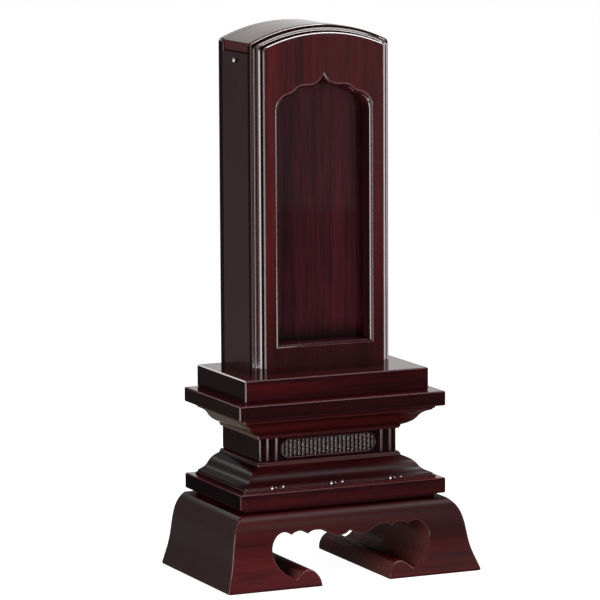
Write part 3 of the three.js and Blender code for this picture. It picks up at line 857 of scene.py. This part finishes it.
outer = [upright(arch_outline(high.x, inset * mm, on_the_arch(inset) * mm, box_corner),
                 frame_front + back * mm) for inset, back in frame_steps]
inner = [upright(window_outline(inset), frame_front + back * mm) for inset, back in window_steps]
bm = bmesh.new()
outer_verts = [[bm.verts.new(p) for p in ring] for ring in outer]
inner_verts = [[bm.verts.new(p) for p in ring] for ring in inner]
for group in (outer_verts, inner_verts):
    for a, b in zip(group, group[1:]):
        join_rings(bm, a, b)
for around, hole in ((outer_verts[-1], inner_verts[0]), (outer_verts[0], inner_verts[-1])):
    both = around + hole
    for a, b, c in tessellate_polygon([[v.co for v in around], [v.co for v in hole]]):
        bm.faces.new((both[a], both[b], both[c]))
front_frame = smooth(from_bmesh("front_frame_shown", bm), 30)
# Painted shade: the frame wood darkens toward the sill and toward the right.
frame_wood = rosewood(
    "frame_wood", "Z", 12, light=(0.054, 0.0053, 0.0062), dark=(0.0172, 0.0026, 0.0032),
    figure=0.6, coat=0.1, coat_roughness=0.2,
    painted_shade=[("Z", 0.056, 0.095, 0.38), ("X", 0.012, -0.012, 0.78)])
place_piece(front_frame, "stand_and_case", "front_frame", frame_wood)

# The moulding is rubbed bright where the cloth reaches, and stays matt in its narrow steps. Its
# steps, the window's edge and the reveal also take darker copies of the frame wood as painted
# shade, and the rim over the window a paler one as painted highlight.
upright_arris = rosewood(
    "upright_arris", "Z", 34, **arris_tone, coat=0.8, coat_ior=thick_lacquer)
soft_arris = rosewood("soft_arris", "Z", 46, **arris_tone, coat=0.32, coat_ior=thick_lacquer)
bead_arris = rosewood("bead_arris", "Z", 49, **arris_tone, coat=0.6, coat_ior=thick_lacquer)
arch_arris = rosewood("arch_arris", "Z", 39, light=(0.0312, 0.0038, 0.0049),
                      dark=(0.0156, 0.0018, 0.0025), coat=1.0, coat_ior=1.8)
shaded_step = rosewood("shaded_step", "Z", 43, light=(0.02, 0.0035, 0.0045),
                       dark=(0.008, 0.0015, 0.002))
# Painted shade: the matt steps are a darker copy of the frame wood, as well as being matt.
matt_shaded_step = rosewood("matt_shaded_step", "Z", 50, light=(0.012, 0.0025, 0.003),
                     dark=(0.005, 0.001, 0.0013), coat=0)
# Painted highlight: a paler copy of the frame wood for the rim over the window.
painted_highlight_rim = rosewood("painted_highlight_rim", "Z", 47, light=(0.14, 0.05, 0.052), dark=(0.09, 0.03, 0.032),
                     figure=0.3)
# Painted shade: a darker copy of the frame wood for the window's reveal.
shaded_reveal = rosewood("shaded_reveal", "Z", 42, light=(0.0208, 0.0046, 0.0059),
                  dark=(0.0078, 0.0023, 0.0031), coat_roughness=0.15)
arch_foot, stile_inside, moulding_depth = 130 * mm, 15 * mm, 3.3 * mm


def depth_of(face):
    """How far a face lies behind the frame's front, in millimetres."""
    return (face.center.y - frame_front) / mm


def on_moulding(face):
    return face.center.y < frame_front + moulding_depth and face.normal.y > -0.985


def on_arch(face, tilt):
    """True on the arch where a face looks upward by more than tilt."""
    return face.center.z > arch_foot and face.normal.z > tilt


def on_left_bead(face):
    return (2.03 < depth_of(face) < 2.5 and -0.97 < face.normal.y < -0.1
            and face.center.x < -stile_inside and face.normal.z < 0.2)


def on_left_chamfer(face):
    return (face.normal.x < -0.2 and face.normal.y > -0.97 and depth_of(face) < 0.38
            and face.center.x < -stile_inside and face.center.z < arch_foot)


def on_right_hollow(face):
    """True for the hollow and the bead beside the right stile."""
    return (16.65 < face.center.x / mm < 18.6 and depth_of(face) < 2.2
            and abs(face.normal.x) < 0.97 and abs(face.normal.y) < 0.998)


def on_window_head(face):
    """True for the rounded edge over the window, but for the steep parts on the right."""
    steep = face.normal.x < -0.33 and face.center.x > 0
    return (face.normal.z < -0.1 and face.center.z > 122 * mm and depth_of(face) < 1.3
            and not steep)


def on_window_left(face):
    return (face.normal.x > 0.1 and -14.2 < face.center.x / mm < -12.9
            and face.center.z < 124 * mm and 0.25 < depth_of(face) < 1.3)


def on_sill(face):
    return face.normal.z > 0.1 and 59 < face.center.z / mm < 61.5


for finish, test in (
        (shaded_step, lambda f: f.normal.y < -0.9 and depth_of(f) > 1.5),
        (upright_arris, lambda f: on_moulding(f) and abs(f.normal.x) < 0.97),
        (arch_arris, lambda f: on_moulding(f) and on_arch(f, 0.25)),
        (matt_shaded_step, lambda f: on_arch(f, 0.02) and 2.06 < depth_of(f) < 2.88),
        (bead_arris, on_left_bead),
        (arch_arris, lambda f: on_arch(f, 0.05) and 1.8 < depth_of(f) < 2.06
         and f.normal.y > -0.998),
        (matt_shaded_step, lambda f: on_arch(f, 0.25) and 0.36 < depth_of(f) < 1.8),
        (soft_arris, on_left_chamfer),
        (shaded_step, on_window_head),
        # Painted highlight on the outermost part of the rim over the window.
        (painted_highlight_rim, lambda f: on_window_head(f) and depth_of(f) < 0.26),
        (shaded_step, on_window_left),
        (soft_arris, lambda f: on_sill(f) and depth_of(f) < 0.25 and f.normal.y > -0.985),
        (shaded_step, lambda f: on_sill(f) and 0.25 < depth_of(f) < 1.3),
        # Painted shade: the frame's outer side faces take the dark end-grain finish, though their
        # grain runs upright.
        (end_grain_and_side_shade, lambda f: abs(f.normal.x) > 0.9 and abs(f.center.x) > 16.5 * mm),
        (arch_arris, on_right_hollow),
        (shaded_reveal, lambda f: abs(f.normal.x) > 0.9 and 12.8 < abs(f.center.x) / mm < 13.6)):
    finish_faces(front_frame, finish, test)

# Floor board, tenon and dowels: plain pale wood, hidden inside, straight from the plane.
# The tenon locates the box in the pedestal, and the dowels join the lower tiers.


def plain_wood(name, grain, seed):
    material, tree, shader = new_material(name)
    fibres = grain_noise(tree, object_place(tree), grain, 520, 14,
                         (seed * 1.3, seed * 0.7, seed * 2.9), 5.0)
    feed(tree, shader, {
        "Base Color": two_tone(tree, fibres, 0.35, (0.42, 0.26, 0.13), 0.62, (0.62, 0.43, 0.24)),
        "Normal": open_pores(tree, fibres, 0.15, 0.08 * mm), "Roughness": 0.62})
    return material


def finish_node(node, material):
    """A CAD node that stays as it is gets its finish."""
    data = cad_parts[node].data
    data.materials.clear()
    data.materials.append(material)


for seed, (node, grain) in enumerate((
        ("floor_board", "X"), ("box_tenon", "Z"), ("left_dowel", "Z"), ("right_dowel", "Z"))):
    finish_node(node, plain_wood(node + "_wood", grain, seed))

# Tablets: thin boards that stand in a row inside the box. The front one is dark rosewood and shows
# through the window. The ones behind it are plain.
low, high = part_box("front_tablet")
tablet_radius, tablet_arris = 26.37 * mm, 0.2 * mm


def round_topped(half, radius, centre_z, bottom_z, steps):
    """A board's outline under an arc, from bottom left round to bottom right."""
    right = arc_down(radius, centre_z, math.acos(half / radius), steps)
    right.append(Vector((half, bottom_z)))
    return mirrored(right)


def tablet_outline(inset):
    return round_topped(high.x - inset, tablet_radius - inset, high.z - tablet_radius,
                        low.z + inset, 24)


# Painted shadow: the front tablet darkens toward its bottom, where the sill shades it.
front_tablet = eased_board(
    "front_tablet_shown", tablet_outline, low.y, high.y, tablet_arris, 3)
place_piece(front_tablet, "front_tablet", "front_tablet",
            rosewood("tablet_wood", "Z", 14, light=(0.0385, 0.0056, 0.0084),
                     dark=(0.01, 0.0025, 0.0042), figure=0.6, streak=420, coat=0.07,
                     painted_shade=[("Z", 0.0605, 0.067, 0.12)]))
for k in range(1, 9):
    finish_node(f"plain_tablet_{k}", plain_wood(f"plain_tablet_{k}_wood", "Z", 20 + k))

# Roof: the lift-off lid, a solid arched board with its end grain at both sides.
# Two cleats of the same wood hang under it and straddle the pins.
low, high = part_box("lid")
lid_arris = 0.2 * mm


def lid_outline(inset):
    return round_topped(high.x - inset, arch_radius - inset, arch_centre_z, low.z + inset, 40)


lid = eased_board("lid_shown", lid_outline, low.y, high.y, lid_arris, 3)
place_piece(lid, "roof", "lid", rosewood("lid_wood", "X", 15, **slab_tone_and_shade))
lid_end = rosewood("lid_end", "Y", 16, light=(0.0562, 0.0138, 0.0125),
                   dark=(0.0281, 0.0069, 0.0062), streak=900, roughness=0.6, coat_roughness=0.3)
finish_faces(lid, rubbed_top, lambda f: f.normal.z > 0.8 and abs(f.normal.y) < 0.1)
finish_faces(lid, arris, lambda f: abs(f.normal.y) > 0.1 and f.normal.z > 0.2)
finish_faces(lid, lid_end, lambda f: abs(f.normal.x) > 0.95)
for node, seed in (("left_cleat", 17), ("right_cleat", 18)):
    finish_node(node, rosewood(node + "_wood", "Y", seed))

# Pins: two small turned metal pins with ball heads, pushed through the walls under the lid's ends.
# The shank is blunt at its tip, and the head stands proud of the wall.
pin_head, pin_shank = 0.575 * mm, 0.4 * mm
wall_face, pin_proud = 19.5 * mm, 1.0 * mm
# Distance from the tip, and radius
pin_tip = ((0, 0.24 * mm), (0.08 * mm, 0.32 * mm), (0.25 * mm, pin_shank))
pin_metal, tree, shader = new_material("pin_metal")
specks = add_node(tree, "ShaderNodeTexNoise", {"Vector": object_place(tree), "Scale": 3000})
feed(tree, shader, {
    "Base Color": two_tone(tree, specks.outputs["Fac"], 0, (0.2, 0.19, 0.2), 1, (0.32, 0.3, 0.3)),
    "Metallic": 1.0, "Roughness": 0.3})
for side, node in ((-1, "left_pin"), (1, "right_pin")):
    low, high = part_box(node)
    tip = high.x if side < 0 else low.x
    outline = [(tip + side * along, radius) for along, radius in pin_tip]
    outline.append((side * (wall_face + 0.1 * mm), pin_shank))
    centre = side * (wall_face + pin_proud - pin_head)
    for i in range(1, 10):
        a = math.radians(-46 + 15 * i)
        outline.append((centre + side * pin_head * math.sin(a), pin_head * math.cos(a)))
    pin = smooth(loft(node + "_shown", [pin_ring(x, radius) for x, radius in outline]), 50)
    place_piece(pin, node, node, pin_metal)

# Studio: a pale floor of paper and a white surround, which light the object only softly.
# Lamps stand to the sides, above and behind, and small cards draw the arrises and the carving.
floor_mesh = bpy.data.meshes.new("floor")
floor_mesh.from_pydata(
    [(-6, -6, 0), (6, -6, 0), (6, 6, 0), (-6, 6, 0)], [], [(0, 1, 2, 3)])
floor = bpy.data.objects.new("floor", floor_mesh)
bpy.context.scene.collection.objects.link(floor)
floor_paper, floor_tree, floor_shader = new_material("floor_paper")
feed(floor_tree, floor_shader, {
    "Base Color": (0.18, 0.18, 0.18, 1), "Roughness": 1.0, "Specular IOR Level": 0.0,
    "Emission Color": (1, 1, 1, 1)})
floor_mesh.materials.append(floor_paper)

world = bpy.data.worlds.new("studio")
bpy.context.scene.world = world
world.use_nodes = True
surround = world.node_tree.nodes["Background"]
surround.inputs["Color"].default_value = (1, 1, 1, 1)


def pale_where_seen(tree, socket, seen, unseen):
    """Camera, glossy and transmission rays meet the strength seen, and all others unseen."""
    path = tree.nodes.new("ShaderNodeLightPath")
    rays = path.outputs["Is Camera Ray"]
    for kind in ("Is Glossy Ray", "Is Transmission Ray"):
        either = add_node(tree, "ShaderNodeMath", {0: rays, 1: path.outputs[kind]}, "MAXIMUM")
        rays = either.outputs["Value"]
    strength = add_node(
        tree, "ShaderNodeMapRange", {"Value": rays, "To Min": unseen, "To Max": seen})
    tree.links.new(strength.outputs["Result"], socket)


pale_where_seen(floor_tree, floor_shader.inputs["Emission Strength"], 0.96, 0.0)
pale_where_seen(world.node_tree, surround.inputs["Strength"], 1.0, 0.2)


def softbox(name, place, target, size, radiance):
    """A rectangular lamp at a place, turned to its target, by the radiance of its face."""
    lamp = bpy.data.lights.new(name, "AREA")
    lamp.shape = "RECTANGLE"
    lamp.size, lamp.size_y = size
    lamp.energy = 4 * size[0] * size[1] * radiance
    light = bpy.data.objects.new(name, lamp)
    light.location = place
    light.rotation_euler = (Vector(target) - Vector(place)).to_track_quat("-Z", "Y").to_euler()
    light.visible_camera = False
    bpy.context.scene.collection.objects.link(light)


softbox("left_light", (-0.171, -0.084, 0.064), (0, -0.01, 0.064), (0.11, 0.125), 7)
softbox("right_light", (0.165, -0.06, 0.078), (0, 0, 0.078), (0.13, 0.14), 4)
softbox("front_right_light", (0.2, -0.22, 0.085), (0, 0, 0.1), (0.05, 0.1), 8)
softbox("front_card", (-0.03, -0.18, 0.004), (0, -0.01, 0.12), (0.08, 0.05), 9)
softbox("end_card", (-0.09, 0.40, 0.237), (-0.03, 0, 0.055), (0.1, 0.06), 5)
softbox("sheen_card", (0.10, -0.19, 0.105), (0.012, -0.012, 0.13), (0.06, 0.07), 1.3)
softbox("arch_card", (0.082, -0.19, 0.196), (0.0, -0.012, 0.14), (0.11, 0.09), 3.8)
softbox("left_card", (-0.07, -0.1, 0.004), (0, -0.01, 0.12), (0.05, 0.04), 4)
softbox("top_light", (0.155, -0.055, 0.42), (0.011, -0.099, 0.12), (0.09, 0.46), 12)
softbox("back_light", (0.10, 0.40, 0.50), (0, 0, 0.09), (0.3, 0.2), 10)

# Camera: it looks slightly down on the object, from in front and from the left.
# A long lens keeps the uprights nearly parallel.
yaw, pitch, roll = math.radians(24.35), math.radians(8.11), math.radians(-0.31)
camera_place = Vector((-0.44089, -0.96171, 0.22249))
forward = Vector((
    math.sin(yaw) * math.cos(pitch), math.cos(yaw) * math.cos(pitch), -math.sin(pitch)))
level = forward.cross(Vector((0, 0, 1))).normalized()
upward = level.cross(forward)
right_way = math.cos(roll) * level + math.sin(roll) * upward
up_way = -math.sin(roll) * level + math.cos(roll) * upward
camera_data = bpy.data.cameras.new("camera")
camera_data.type = "PERSP"
camera_data.sensor_width = 36
camera_data.lens = 243.42
camera_data.clip_start, camera_data.clip_end = 0.01, 50
camera = bpy.data.objects.new("camera", camera_data)
axes = Matrix((right_way, up_way, -forward)).transposed()
camera.matrix_world = Matrix.Translation(camera_place) @ axes.to_4x4()
bpy.context.scene.collection.objects.link(camera)
bpy.context.scene.camera = camera

bpy.context.scene.view_settings.view_transform = "Standard"
